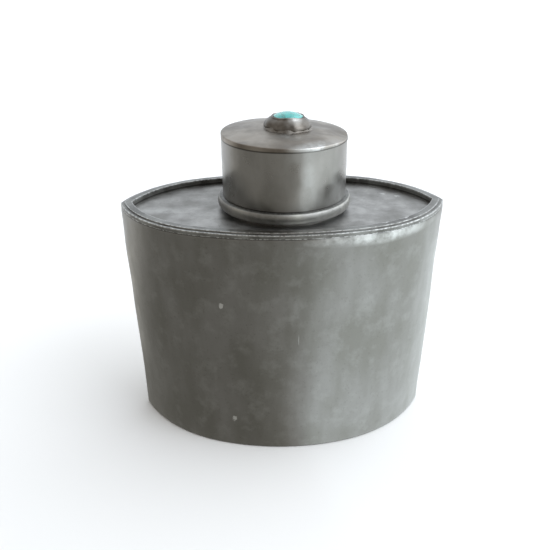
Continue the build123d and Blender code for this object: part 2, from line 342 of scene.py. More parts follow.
def pewter(name, looks):
    # aged pewter, worked with a planishing hammer and rubbed with cloth: a dull grey metal that shines
    # softly in clouds and streaks, with fine scratches, a few bright nicks, edges worn pale, painted
    # highlights on edges and lit sides, and painted shade in corners and joints
    material, add, place = newMaterial(name)
    long = add("Mapping", {"Scale": looks["streakScale"]}, {"Vector": place})
    cloud = add("TexNoise", {"Scale": 1 / looks["cloudSize"], "Detail": 4}, {"Vector": place})
    streak = add("TexNoise", {"Scale": 1 / looks["streakSize"], "Detail": 4}, {"Vector": long})
    mottle = add("TexNoise", {"Scale": 1 / looks["mottleSize"], "Detail": 5, "Roughness": 0.62},
                 {"Vector": place})
    grain = add("TexNoise", {"Scale": 1 / looks["grainSize"], "Detail": 2}, {"Vector": place})

    worn = add("Math", links={0: cloud, 1: streak}, operation="ADD")
    shade = add("MapRange", {"From Min": 0.82, "From Max": 1.18}, {"Value": worn})
    tone = add("ValToRGB", links={"Fac": shade}, stops=zip((0.0, 0.5, 1.0), looks["tones"]))
    bloom = add("MapRange", {"From Min": 0.5, "From Max": 0.72, "To Max": looks["mottle"]},
                {"Value": mottle})
    tone = add("MixRGB", {"Color2": linear(looks["bloom"])}, {"Fac": bloom, "Color1": tone})
    pits = add("MapRange", {"From Min": 0.6, "From Max": 0.75, "To Max": looks["specks"]},
               {"Value": grain})
    tone = add("MixRGB", {"Color2": linear(looks["pit"])}, {"Fac": pits, "Color1": tone})

    def shareOf(centre, reach):
        # distance from a spot, in shares of its reach
        away = add("VectorMath", {1: centre}, {0: place}, operation="SUBTRACT")
        away = add("VectorMath", {1: reach}, {0: away}, operation="DIVIDE")
        return add("VectorMath", links={0: away}, operation="LENGTH").outputs["Value"]

    # scratches: thin short dashes, each one cell of a stretched pattern, most cells left out
    slanted = add("Mapping", {"Rotation": looks["scratchTurn"], "Scale": looks["scratchScale"]},
                  {"Vector": place})
    dash = add("TexVoronoi", {"Scale": 1 / looks["scratchGap"]}, {"Vector": slanted})
    thin = add("MapRange", {"From Min": 0.015, "From Max": 0.035, "To Min": 1.0, "To Max": 0.0},
               {"Value": dash.outputs["Distance"]})
    some = add("MapRange", {"From Min": looks["scratchShare"], "From Max": looks["scratchShare"] + 0.02},
               {"Value": dash.outputs["Color"]})
    scratch = add("Math", links={0: thin, 1: some}, operation="MULTIPLY")

    # nicks: small round spots of bare metal, again in a few cells only, and the large knocks
    spot = add("TexVoronoi", {"Scale": 1 / looks["nickGap"]}, {"Vector": place})
    small = add("MapRange", {"From Min": 0.02, "From Max": 0.06, "To Min": 1.0, "To Max": 0.0},
                {"Value": spot.outputs["Distance"]})
    few = add("MapRange", {"From Min": 0.62, "From Max": 0.64}, {"Value": spot.outputs["Color"]})
    nick = add("Math", links={0: small, 1: few}, operation="MULTIPLY")
    mark = add("Math", links={0: scratch, 1: nick}, operation="MAXIMUM")
    for knock in looks["knocks"]:
        ragged = add("Math", {1: 1.6}, {0: grain, 2: shareOf(knock, looks["knockReach"])},
                     operation="MULTIPLY_ADD")
        hit = add("MapRange", {"From Min": 1.5, "From Max": 1.2}, {"Value": ragged})
        mark = add("Math", links={0: mark, 1: hit}, operation="MAXIMUM")
    bareAndHighlight = add("Math", {1: looks["markTone"]}, {0: mark}, operation="MULTIPLY")

    # edges rubbed bright in places, with painted highlights on the convex edges, and old polish with
    # painted shade dark in the concave corners
    corner = add("NewGeometry").outputs["Pointiness"]
    wearAndHighlight = looks["edgeWear"]
    patchyEdge = add("MapRange", {"From Min": 0.4, "From Max": 0.62, "To Min": looks["thinnest"] * wearAndHighlight,
                              "To Max": wearAndHighlight}, {"Value": grain})
    # painted highlight: convex edges, picked out by pointiness, take the bright tone in patches, over the
    # wear
    edge = add("MapRange", {"From Min": 0.51, "From Max": 0.55}, {"Value": corner})
    edge = add("Math", links={0: edge, 1: patchyEdge}, operation="MULTIPLY")
    bareAndHighlight = add("Math", links={0: bareAndHighlight, 1: edge}, operation="MAXIMUM")
    # painted shade: concave corners, picked out by pointiness, take the dark tone, over the old polish
    grime = add("MapRange", {"From Min": 0.49, "From Max": 0.44, "To Max": looks["grime"]},
                {"Value": corner})
    height = add("SeparateXYZ", links={"Vector": place}).outputs["Z"]
    # dark lines along the joints: partly the joints' own dark, partly painted shadow under the overhanging
    # rim and disc
    for level in looks["joints"]:
        off = add("Math", {1: level}, {0: height}, operation="SUBTRACT")
        off = add("Math", links={0: off}, operation="ABSOLUTE")
        line = add("MapRange", {"From Min": looks["jointReach"], "From Max": looks["jointCore"],
                                "To Max": looks["jointDark"]}, {"Value": off})
        grime = add("Math", links={0: grime, 1: line}, operation="MAXIMUM")
    tone = add("MixRGB", {"Color2": linear(looks["dirt"])}, {"Fac": grime, "Color1": tone})

    # pale patches, patchy and fading from their middles: smears where solder ran or the metal was rubbed,
    # and painted highlights and painted light over shade
    for centre, reach, strength in looks["smears"]:
        over = add("MapRange", {"From Min": 1.0, "From Max": 0.3}, {"Value": shareOf(centre, reach)})
        patchy = add("MapRange", {"From Min": 0.4, "From Max": 0.58, "To Max": strength,
                                  "To Min": looks["thinnest"] * strength}, {"Value": mottle})
        smearAndHighlight = add("Math", links={0: over, 1: patchy}, operation="MULTIPLY")
        bareAndHighlight = add("Math", links={0: bareAndHighlight, 1: smearAndHighlight}, operation="MAXIMUM")
    tone = add("MixRGB", {"Color2": linear(looks["bright"])}, {"Fac": bareAndHighlight, "Color1": tone})

    rough = add("MapRange", {"From Min": 0.3, "From Max": 0.7, "To Min": looks["roughLow"],
                             "To Max": looks["roughHigh"]}, {"Value": mottle})

    # hammer facets, slow waves, grain and the marks, laid over each other
    faceted = add("Mapping", {"Scale": looks["facetScale"]}, {"Vector": place})
    hammer = add("TexVoronoi", {"Scale": 1 / looks["facetSize"], "Randomness": 0.85, "Smoothness": 0.5},
                 {"Vector": faceted}, feature="SMOOTH_F1")
    dish = add("Math", {1: 2.0}, {0: hammer}, operation="POWER")
    relief = add("Bump", {"Distance": looks["facetDepth"]}, {"Height": dish})
    wavy = add("Mapping", {"Scale": looks["waveScale"]}, {"Vector": place})
    wave = add("TexNoise", {"Scale": 1 / looks["waveSize"], "Detail": 2}, {"Vector": wavy})
    relief = add("Bump", {"Distance": looks["waveDepth"]}, {"Height": wave, "Normal": relief})
    relief = add("Bump", {"Distance": looks["grainDepth"]}, {"Height": grain, "Normal": relief})
    relief = add("Bump", {"Distance": looks["markDepth"]}, {"Height": mark, "Normal": relief}, invert=True)
    shader = add("BsdfPrincipled", {"Metallic": 1.0},
                 {"Base Color": tone, "Roughness": rough, "Normal": relief})
    add("OutputMaterial", links={"Surface": shader})
    return material


vesselLooks = {
    "tones": ("#73726d", "#797874", "#807f7c"),
    "bloom": "#92928f", "pit": "#5b5a55", "bright": "#c9cac8", "dirt": "#2f2e2b",
    "cloudSize": 24 * mm, "mottleSize": 5.5 * mm, "mottle": 0.52, "grainSize": 0.8 * mm, "specks": 0.28,
    "streakSize": 7 * mm, "streakScale": (1, 1, 0.3),
    "scratchTurn": (0.5, -0.35, 0), "scratchScale": (1, 1, 0.05), "scratchGap": 4 * mm,
    "scratchShare": 0.7,  # how many of the cells hold none
    "nickGap": 19 * mm, "markTone": 0.85,
    "knocks": ((-18.6 * mm, -26 * mm, 51 * mm), (-15.7 * mm, -26 * mm, 10.5 * mm)),
    "knockReach": (0.95 * mm, 12 * mm, 1.6 * mm),
    "markDepth": 0.02 * mm, "edgeWear": 0.0, "grime": 0.0,
    # this also sets how faint the painted highlights get between their patches
    "thinnest": 0.25,  # how faint a smear or a worn edge gets between its patches
    # the line under the rim is partly painted shadow of the rim's overhang
    "joints": (wallHigh.z,), "jointReach": 0.32 * mm, "jointCore": 0.12 * mm, "jointDark": 0.75,
    # a pale band of filed metal along the wall's top at the right front, with a painted highlight on it
    "smears": (((25 * mm, -20 * mm, wallHigh.z - 0.6 * mm), (23 * mm, 60 * mm, 3 * mm), 0.9),),
    "roughLow": 0.3, "roughHigh": 0.42,
    "facetSize": 8 * mm, "facetScale": (1, 1, 0.6), "facetDepth": 0.15 * mm,
    "waveSize": 6 * mm, "waveScale": (1, 1, 0.45), "waveDepth": 0.10 * mm, "grainDepth": 0.012 * mm,
}
# the rim's convex edges carry painted highlights and its concave corners painted shade, along with wear
# and old polish
rimLooks = {**vesselLooks, "knocks": (), "tones": ("#5c5b58", "#6c6b68", "#7e7e7b"),
            "cloudSize": 14 * mm, "mottleSize": 2.5 * mm, "streakScale": (1, 1, 1),
            "facetDepth": 0.04 * mm,
            "waveSize": 3 * mm, "waveDepth": 0.06 * mm, "nickGap": 6 * mm, "specks": 0.35,
            "bright": "#d9dad8", "edgeWear": 0.9, "grime": 0.8, "smears": ()}
# the deck's tones are a lighter copy of the wall's pewter: painted light on the upward face
deckLooks = {**vesselLooks, "tones": ("#81807d", "#949391", "#a8a7a5"),
             "joints": (), "knocks": ((33 * mm, 11 * mm, deckHigh.z), (37 * mm, 8.5 * mm, deckHigh.z)),
             "knockReach": (1.6 * mm, 1.1 * mm, 9 * mm),
             "cloudSize": 13 * mm, "mottleSize": 3 * mm, "streakScale": (1, 1, 1), "facetScale": (1, 1, 1),
             "waveScale": (1, 1, 1), "waveSize": 9 * mm, "nickGap": 8 * mm, "roughLow": 0.42,
             "roughHigh": 0.56,
             # the first is a pale smear in front of the cap which also paints light over the shade and
             # dark reflection there
             "smears": (((6 * mm, -21.5 * mm, deckHigh.z), (11 * mm, 3.2 * mm, 9 * mm), 0.8),
                        ((-37 * mm, -3 * mm, deckHigh.z), (9 * mm, 3 * mm, 9 * mm), 0.45))}
capLooks = {**vesselLooks, "knocks": (), "tones": ("#7b7974", "#83817d", "#8c8a86"),
            "cloudSize": 16 * mm, "facetSize": 4.6 * mm, "facetDepth": 0.13 * mm, "nickGap": 9 * mm,
            # the line under the disc is partly painted shadow of the disc's overhang
            "joints": (discLow.z, mouldHigh.z),
            "specks": 0.08, "mottle": 0.25, "grainDepth": 0.0015 * mm,
            "scratchShare": 0.9, "markDepth": 0.008 * mm, "roughLow": 0.26, "roughHigh": 0.35,
            # painted highlights: a narrow upright streak right of the cap's front and a broad patch low on
            # its right side
            "smears": (((7 * mm, -18 * mm, capHigh.z - 9 * mm), (3 * mm, 5 * mm, 14 * mm), 0.2),
                       ((17 * mm, -6 * mm, capLow.z + 6 * mm), (9 * mm, 12 * mm, 13 * mm), 0.4))}
# the moulding's edges take a faint painted highlight with their wear
mouldingLooks = {**capLooks, "tones": ("#7a7975", "#8e8d89", "#a2a19a"),
                 "mottleSize": 2 * mm, "mottle": 0.5, "specks": 0.35, "edgeWear": 0.2, "smears": (),
                 "roughLow": 0.38, "roughHigh": 0.52}
discLooks = {**capLooks, "tones": ("#6c655d", "#7b746b", "#918a81"),
             "streakScale": (1, 1, 1), "facetScale": (1, 1, 1), "waveScale": (1, 1, 1),
             "facetSize": 7 * mm, "facetDepth": 0.1 * mm, "waveDepth": 0.2 * mm,
             "roughLow": 0.32, "roughHigh": 0.46,
             "smears": (((3 * mm, -9.5 * mm, discHigh.z), (6 * mm, 4 * mm, 9 * mm), 0.35),
                        # the second is a painted highlight along the disc's edge at the right front
                        ((11 * mm, -15 * mm, discLow.z + 0.7 * mm), (13 * mm, 9 * mm, 1.1 * mm), 1.0))}
mountLooks = {**discLooks, "tones": ("#4d4843", "#625d57", "#7a756f"), "cloudSize": 5 * mm,
              "smears": (((3.2 * mm, -4 * mm, mountHigh.z), (2.6 * mm, 3 * mm, 4 * mm), 0.5),)}


def tinSolder():
    # tin solder, run in with an iron and left as it set: smooth, with soft ripples and a grey bloom
    material, add, place = newMaterial("tin solder, as set")
    cloud = add("TexNoise", {"Scale": 1 / (1.6 * mm), "Detail": 4}, {"Vector": place})
    ripple = add("TexNoise", {"Scale": 1 / (0.9 * mm), "Detail": 2}, {"Vector": place})
    tone = add("ValToRGB", links={"Fac": cloud}, stops=((0.35, "#5c5751"), (0.68, "#7d7872")))
    rough = add("MapRange", {"From Min": 0.3, "From Max": 0.7, "To Min": 0.34, "To Max": 0.5},
                {"Value": cloud})
    relief = add("Bump", {"Distance": 0.08 * mm}, {"Height": ripple})
    shader = add("BsdfPrincipled", {"Metallic": 1.0},
                 {"Base Color": tone, "Roughness": rough, "Normal": relief})
    add("OutputMaterial", links={"Surface": shader})
    return material


def corkSheet():
    # bark cork, cut and sanded: warm brown granules about a millimetre across with dark pores
    material, add, place = newMaterial("cork, sanded")
    granule = add("TexVoronoi", {"Scale": 1 / (0.9 * mm)}, {"Vector": place})
    pore = add("TexNoise", {"Scale": 1 / (0.5 * mm), "Detail": 3}, {"Vector": place})
    tone = add("ValToRGB", links={"Fac": granule.outputs["Color"]},
               stops=((0.1, "#9c7346"), (0.9, "#c49b68")))
    hole = add("MapRange", {"From Min": 0.6, "From Max": 0.68}, {"Value": pore})
    tone = add("MixRGB", {"Color2": linear("#4b3019")}, {"Fac": hole, "Color1": tone})
    relief = add("Bump", {"Distance": 0.1 * mm}, {"Height": hole}, invert=True)
    shader = add("BsdfPrincipled", {"Roughness": 0.88, "IOR": 1.45},
                 {"Base Color": tone, "Normal": relief})
    add("OutputMaterial", links={"Surface": shader})
    return material


def pressedGlass():
    # soda glass pressed in a mould: clear with a faint green body colour and slow ripples from the mould
    material, add, place = newMaterial("soda glass, pressed")
    ripple = add("TexNoise", {"Scale": 1 / (7 * mm), "Detail": 2}, {"Vector": place})
    haze = add("TexNoise", {"Scale": 1 / (3 * mm), "Detail": 3}, {"Vector": place})
    tone = add("ValToRGB", links={"Fac": haze}, stops=((0.3, "#e3f0ea"), (0.7, "#f3f9f6")))
    rough = add("MapRange", {"From Min": 0.4, "From Max": 0.7, "To Min": 0.02, "To Max": 0.09},
                {"Value": haze})
    relief = add("Bump", {"Strength": 0.7, "Distance": 0.15 * mm}, {"Height": ripple})
    shader = add("BsdfPrincipled", {"IOR": 1.52, "Transmission Weight": 1.0},
                 {"Base Color": tone, "Roughness": rough, "Normal": relief})
    add("OutputMaterial", links={"Surface": shader})
    return material


def turquoiseStone():
    # a polished turquoise cabochon: waxy depth, paler clouds and a few fine brown veins under a wet gloss
    material, add, place = newMaterial("turquoise, polished")
    cloud = add("TexNoise", {"Scale": 1 / (2.6 * mm), "Detail": 4}, {"Vector": place})
    tone = add("ValToRGB", links={"Fac": cloud}, stops=((0.36, "#289692"), (0.64, "#50b4ae")))
    crack = add("TexVoronoi", {"Scale": 1 / (3.4 * mm)}, {"Vector": place},
                feature="DISTANCE_TO_EDGE")
    vein = add("MapRange", {"From Min": 0.0, "From Max": 0.04, "To Min": 0.6, "To Max": 0.0},
               {"Value": crack})
    tone = add("MixRGB", {"Color2": linear("#2f5a52")}, {"Fac": vein, "Color1": tone})
    shader = add("BsdfPrincipled",
                 {"Roughness": 0.16, "IOR": 1.61, "Subsurface Weight": 0.3,
                  "Subsurface Radius": (0.6, 1.0, 0.95), "Subsurface Scale": 0.8 * mm,
                  "Coat Weight": 0.4, "Coat Roughness": 0.05},
                 {"Base Color": tone})
    add("OutputMaterial", links={"Surface": shader})
    return material


vesselPewter = pewter("pewter sheet, planished", vesselLooks)
rimPewter = pewter("pewter moulding, filed", rimLooks)
# the deck's copy is lighter, standing in for the light on its top
litDeckPewter = pewter("pewter plate, dressed flat", deckLooks)
capPewter = pewter("pewter tube, planished", capLooks)
discPewter = pewter("pewter disc, raised", discLooks)
mountPewter = pewter("pewter collar, pressed up", mountLooks)
mouldingPewter = pewter("pewter strip, filed half round", mouldingLooks)
solder = tinSolder()
cork = corkSheet()
potGlass = pressedGlass()
polishedStone = turquoiseStone()
print("materials ready")


wallShape = {
    "sheet": 1.5 * mm,
    "footRound": 0.5 * mm,
    "footSection": ((1, 0), (0.3, 0.3), (0, 1)),  # inset and height, in shares of footRound
    "collar": 2.6 * mm,  # filed band under the rim
    "collarLean": 0.12 * mm,
    "collarSection": ((0, 1), (0.35, 0.4), (1, 0.1), (2, 0)),  # inset and drop, in shares of those two
    "cuts": (0, 0, 78, 2, 1, 0, 0, 12, 0),  # rows between each line of the section and the next
    "leftTip": 0.85 * mm,  # where the rounding of each tip starts
    "rightTip": 0.25 * mm,
    "tipReach": 0.9 * mm,  # how near the tip an edge counts as the tip's
    "dishSize": 13 * mm, "dishDepth": 0.16 * mm,
    "waveSize": 34 * mm, "waveDepth": 0.7 * mm,
    "fade": 5 * mm,  # the shaping dies out towards both edges
}


def makeWalls(shape):
    top = wallHigh.z
    whole = begin("wallWhole")
    profile = [*[(shape["footRound"] * x, shape["footRound"] * z) for x, z in shape["footSection"]],
               *[(shape["collarLean"] * x, top - shape["collar"] * z) for x, z in shape["collarSection"]],
               (shape["sheet"], top), (shape["sheet"], 0)]
    for inset, height in profile:
        addQuarter(inset, height, height)
    joinQuarters(whole, shape["cuts"])
    # both tips are rounded on the outer face only
    roundTip(whole, -1, shape["leftTip"], lambda c: -c.x > planAt(c.z)[0][0] - shape["tipReach"])
    roundTip(whole, 1, shape["rightTip"], lambda c: c.x > planAt(c.z)[0][0] - shape["tipReach"])
    fade = makeGroup(whole, "fade", lambda c: min(c.z, top - shape["collar"] / 2 - c.z) / shape["fade"])
    displace(whole, shape, "wave", fade)
    displace(whole, shape, "dish", fade)
    for name, side, node in (("wallFront", -1, "wall_front"), ("wallRear", 1, "wall_rear")):
        sheet = halfOf(whole, name, side)
        finishPiece(sheet, "root", "vessel_pewter", vesselPewter, node)
    bpy.data.objects.remove(whole)


makeWalls(wallShape)


rimShape = {
    "setback": 0.15 * mm, "width": 3.5 * mm, "skirt": 1.2 * mm,
    "ledge": 1.2 * mm,  # thickness
    "ledgeWidth": 1.1 * mm,
    "valley": ((-0.1 * mm, -0.03 * mm), (0, 0.05 * mm)),  # corner of ledge and band: inward, upward
    "bandLean": 0.04 * mm, "bandDrop": 0.03 * mm,
    "softEdge": 0.2 * mm,
    "cornerShare": 0.3,  # how far a soft edge's middle is from its sides
    "bandShare": 0.35,
    "cuts": (4, 0, 0, 1, 0, 2, 0, 0, 5, 0, 0, 4, 0, 0, 0),
    "leftTip": 0.7 * mm, "rightTip": 0.2 * mm,
    "settle": 0.8 * mm,  # height over which the roughness comes in
    "roughSize": 5 * mm, "roughDepth": 0.12 * mm,
    "chipSize": 1.1 * mm, "chipDepth": 0.05 * mm,
}


def makeRim(shape):
    floor, ledge, top = wallHigh.z, wallHigh.z + shape["ledge"], rimHigh.z
    outer, soft = shape["setback"], shape["softEdge"]
    band, inner, near = outer + shape["ledgeWidth"], shape["width"], shape["cornerShare"] * soft
    piece = begin("rimFrame")
    profile = [(outer, floor), (outer, ledge - soft), (outer + near, ledge - near), (outer + soft, ledge),
               *[(band + x, ledge + z) for x, z in shape["valley"]],
               (band + shape["bandLean"], top - soft), (band + shape["bandShare"] * soft, top - near),
               (band + soft, top - shape["bandDrop"]), (inner - soft, top), (inner - near, top - near),
               (inner, top - soft), (inner, rimLow.z), (inner - shape["skirt"], rimLow.z),
               (inner - shape["skirt"], floor)]
    for inset, height in profile:
        addQuarter(inset, height, wallHigh.z)
    joinQuarters(piece, shape["cuts"])
    roundTip(piece, -1, shape["leftTip"], lambda c: c.z > floor - tiny)
    roundTip(piece, 1, shape["rightTip"], lambda c: c.z > floor - tiny)
    free = makeGroup(piece, "free", lambda c: (c.z - floor) / shape["settle"])
    displace(piece, shape, "rough", free)
    displace(piece, shape, "chip", free, octaves=0)
    finishPiece(piece, "root", "rim_pewter", rimPewter, "rim_frame", sharp=40)


deckShape = {"follow": 6 * mm, "waveSize": 17 * mm, "waveDepth": 0.5 * mm, "dentSize": 5 * mm,
             "dentDepth": 0.08 * mm, "neckFade": 2 * mm, "rimFade": 0.04, "cuts": (0, 6, 0, 26)}


def makeDeck(shape):
    # a plate with the neck's hole in it, a little uneven from the soldering heat
    low, high, inset = deckLow.z, deckHigh.z, rimShape["width"]
    piece = begin("deckPlate")
    addQuarter(inset, high, wallHigh.z)
    addQuarter(inset, low, wallHigh.z)
    addRound(neckRadius, low)
    addRound(neckRadius, high)
    joinQuarters(piece, shape["cuts"])
    # the hole goes to the neck's axis, and the plate round it follows
    pick(piece, "VERT", lambda vertex: hypot(vertex.co.x, vertex.co.y) < neckRadius + tiny)
    pull(neckAxis, shape["follow"])

    def inside(c):
        edge = fromAxis(neckAxis, c) - neckRadius
        outerEdge = 1 - hypot(c.x / (rimHalf[0] - inset), c.y / (rimHalf[1] - inset))
        return min(edge / shape["neckFade"], outerEdge / shape["rimFade"]) if c.z > low + tiny else 0
    free = makeGroup(piece, "free", inside)
    displace(piece, shape, "wave", free)
    displace(piece, shape, "dent", free, octaves=0)
    finishPiece(piece, "root", "vessel_pewter", litDeckPewter, "deck_plate")


baseShape = {"middle": 0.6 * mm, "waveSize": 24 * mm, "waveDepth": 0.35 * mm, "dishSize": 8 * mm,
             "dishDepth": 0.12 * mm, "edgeFade": 1 / 9, "cuts": (36, 0, 12)}


def makeBase(shape):
    # the bottom sheet, set a little above the foot and uneven underneath
    low, high, inset = plateLow.z, plateHigh.z, wallShape["sheet"]
    piece = begin("basePlate")
    addRound(shape["middle"], low)
    addQuarter(inset, low, low)
    addQuarter(inset, high, high)
    addRound(shape["middle"], high)
    joinQuarters(piece, shape["cuts"], closed=False)
    for height in (low, high):
        pick(piece, "VERT", lambda v: hypot(v.co.x, v.co.y) < shape["middle"] + tiny
             and abs(v.co.z - height) < tiny)
        bpy.ops.mesh.merge(type="CENTER")
    closeUp(piece)
    under = makeGroup(piece, "under", lambda c: (1 - hypot(c.x / baseHalf[0], c.y / baseHalf[1]))
                      / shape["edgeFade"] if c.z < low + tiny else 0)
    displace(piece, shape, "wave", under)
    displace(piece, shape, "dish", under)
    finishPiece(piece, "root", "vessel_pewter", vesselPewter, "base_plate")


makeRim(rimShape)
makeDeck(deckShape)
makeBase(baseShape)


washerLow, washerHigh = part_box("seat_washer")
potLow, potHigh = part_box("ink_pot")
neckShape = {"sheet": 1.2 * mm, "soft": 0.25 * mm, "waveSize": 12 * mm, "waveDepth": 0.12 * mm,
             "fade": 3 * mm, "still": mm, "rows": 30, "boreRows": 12, "steps": 160}


def makeNeck(shape):
    outer, bore = neckRadius, neckRadius - shape["sheet"]
    low, high, soft = neckLow.z, neckHigh.z, shape["soft"]
    outline = [*along((outer, low), (outer, high - soft), shape["rows"]), (outer, high - soft),
               (outer - soft, high), (bore + soft, high), (bore, high - soft),
               *along((bore, high - 2 * soft), (bore, low), shape["boreRows"]), (bore, low)]
    piece = turnOutline("neckTube", neckAxis, outline, shape["steps"])
    # the mouth and what is below the deck stay true
    free = makeGroup(piece, "free", lambda c: min(c.z - deckHigh.z, high - shape["still"] - c.z)
                     / shape["fade"])
    displace(piece, shape, "wave", free, octaves=0)
    finishPiece(piece, "root", "vessel_pewter", capPewter, "neck_tube")


washerShape = {"soft": 0.12 * mm, "steps": 120}


def makeWasher(shape):
    outer, bore = neckRadius, neckRadius - neckShape["sheet"]
    low, high, soft = washerLow.z, washerHigh.z, shape["soft"]
    outline = [(outer - soft, low), *bend((outer - soft, low + soft), soft, -60, 0, 2),
               *bend((outer - soft, high - soft), soft, 0, 90, 3), (bore + soft, high),
               (bore, high - soft),
               (bore, low + soft), (bore + soft, low)]
    piece = turnOutline("seatWasher", neckAxis, outline, shape["steps"])
    finishPiece(piece, "root", "cork", cork, "seat_washer", sharp=50)


potShape = {"flange": 1.6 * mm, "wall": 2.3 * mm, "floor": 3.2 * mm, "corner": 2.5 * mm, "mouth": 0.7 * mm,
            "gap": 0.45 * mm, "soft": 0.3 * mm,
            "hollow": 0.4 * mm,  # the bottom's push-up
            "hollowSection": ((0, 1), (0.55, 0.9), (0.68, 0)),  # shares of the radius and of the hollow
            "rows": 10, "steps": 120}


def makePot(shape):
    outer = neckRadius - neckShape["sheet"] - shape["gap"]
    bore, flange, low, high = outer - shape["wall"], radiusOf("ink_pot"), potLow.z, potHigh.z
    under, well = high - shape["flange"], potLow.z + shape["floor"]
    corner, inner, mouth, soft = shape["corner"], shape["corner"] / 2, shape["mouth"], shape["soft"]
    outline = [*[(outer * x, low + shape["hollow"] * z) for x, z in shape["hollowSection"]],
               *bend((outer - corner, low + corner), corner, -90, 0, 6),
               *along((outer, low + corner * 2), (outer, under), shape["rows"]), (outer, under),
               (flange - soft, under), *bend((flange - soft, high - soft), soft, 0, 90, 3),
               *bend((bore + mouth, high - mouth), mouth, 90, 180, 5),
               *along((bore, high - 2 * mouth), (bore, well + inner), shape["rows"]),
               *bend((bore - inner, well + inner), inner, 0, -90, 5), (0, well)]
    piece = turnOutline("inkPot", neckAxis, outline, shape["steps"], closed=False)
    finishPiece(piece, "pot", "pot_glass", potGlass, "ink_pot", sharp=40)


makeNeck(neckShape)
makeWasher(washerShape)
makePot(potShape)


capRadius = radiusOf("cap_wall")
capWallShape = {
    "sheet": 1.2 * mm, "waveSize": 15 * mm, "waveDepth": 0.4 * mm, "dishSize": 8 * mm,
    "dishDepth": 0.14 * mm, "fade": 2.5 * mm, "rows": 34, "boreRows": 8, "boreClear": mm, "steps": 192,
}


def makeCapWall(shape):
    outer, bore, low, high = capRadius, capRadius - shape["sheet"], capLow.z, capHigh.z
    boreTop, boreFoot = high - shape["boreClear"], low + shape["boreClear"]
    outline = [*along((outer, low), (outer, high), shape["rows"]), (outer, high), (bore, high),
               *along((bore, boreTop), (bore, boreFoot), shape["boreRows"]), (bore, low)]
    piece = turnOutline("capWall", neckAxis, outline, shape["steps"])
    free = makeGroup(piece, "free", lambda c: min(c.z - low, high - c.z) / shape["fade"]
                     if fromAxis(neckAxis, c) > outer - shape["sheet"] / 2 else 0)
    displace(piece, shape, "wave", free)
    displace(piece, shape, "dish", free)
    finishPiece(piece, "cap", "cap_pewter", capPewter, "cap_wall")


def domeTop(radius, apex, sphere):
    return apex - sphere + sqrt(sphere ** 2 - radius ** 2)


discShape = {
    "edge": 1.1 * mm, "sheet": 1.2 * mm, "soft": 0.4 * mm, "trim": 0.12 * mm,
    "waveSize": 9 * mm, "waveDepth": 0.3 * mm,
    "rings": 24, "innerRings": 8, "steps": 160,
    "arcStart": 72,  # where the edge's rounding begins, in degrees from outwards
    "faceFrom": 0.1 * mm,  # the waves start this far above the edge
    "lean": radians(1.3),  # the disc was soldered on a little askew, lower to the right
    "leanFrom": 0.22 * mm,  # and what is lower than this above its underside stays
    # place, depth and reach in mm: the last two round the edge off at the right
    "dents": (((4.2, -11.2), 0.3, 3.4), ((-12, -12), 0.16, 3), ((18.4, -3), 0.45, 5), ((17, -8), 0.3, 5)),
}
discRadius = radiusOf("cap_disc")
discApex, discEdge = discHigh.z, discLow.z + discShape["edge"]
discSphere = (discRadius ** 2 + (discApex - discEdge) ** 2) / (2 * (discApex - discEdge))


def leanOver(piece):
    # tips what stands above the disc's underside about the cap's middle
    pick(piece, "VERT", lambda vertex: vertex.co.z > discLow.z + discShape["leanFrom"])
    bpy.ops.transform.rotate(value=-discShape["lean"], orient_axis="Y",
                             center_override=(neckAxis.x, 0, discEdge))
    objectMode()


def makeCapDisc(shape):
    edge, under, soft = discRadius - shape["trim"], discLow.z, shape["soft"]
    bore = capRadius - capWallShape["sheet"]
    crown = discApex - shape["sheet"]
    hollow = (bore ** 2 + (crown - under) ** 2) / (2 * (crown - under))
    rings, innerRings = shape["rings"], shape["innerRings"]
    top = [(edge - soft) * step / rings for step in range(rings + 1)]
    inside = [bore * (1 - step / innerRings) for step in range(innerRings + 1)]
    shoulder = (edge - soft, domeTop(edge - soft, discApex, discSphere) - soft)
    outline = [*[(r, domeTop(r, discApex, discSphere)) for r in top],
               *bend(shoulder, soft, shape["arcStart"], 0, 5), (edge, under),
               *[(r, domeTop(r, crown, hollow)) for r in inside]]
    piece = turnOutline("capDisc", neckAxis, outline, shape["steps"], closed=False)

    def outside(c):
        dome = domeTop(min(fromAxis(neckAxis, c), edge), discApex, discSphere)
        return 1 if c.z > discEdge + shape["faceFrom"] and c.z > dome - soft / 2 else 0
    outerFace = makeGroup(piece, "outerFace", outside)
    displace(piece, shape, "wave", outerFace)
    for (x, y), deep, reach in shape["dents"]:
        bump(piece, (neckAxis.x + x * mm, y * mm, discApex), (0, 0, -deep * mm), reach * mm)
    leanOver(piece)
    finishPiece(piece, "cap", "cap_pewter", discPewter, "cap_disc", sharp=50)


mouldingShape = {"overlap": 0.05 * mm, "fullness": 0.5, "waveSize": 6 * mm, "waveDepth": 0.2 * mm,
                 "facets": 16, "steps": 192}


def makeMoulding(shape):
    low, half = mouldLow.z, (mouldHigh.z - mouldLow.z) / 2
    inner = capRadius - shape["overlap"]
    deep = radiusOf("cap_moulding") - inner
    turns = [pi * (step / shape["facets"] - 0.5) for step in range(shape["facets"] + 1)]
    outline = [(inner + deep * max(cos(t), 0) ** shape["fullness"], low + half + half * sin(t))
               for t in turns]
    piece = turnOutline("capMoulding", neckAxis, outline, shape["steps"])
    free = makeGroup(piece, "free", lambda c: (fromAxis(neckAxis, c) - inner) / deep)
    displace(piece, shape, "wave", free)
    finishPiece(piece, "cap", "cap_pewter", mouldingPewter, "cap_moulding", sharp=50)


makeCapWall(capWallShape)
makeCapDisc(discShape)
makeMoulding(mouldingShape)


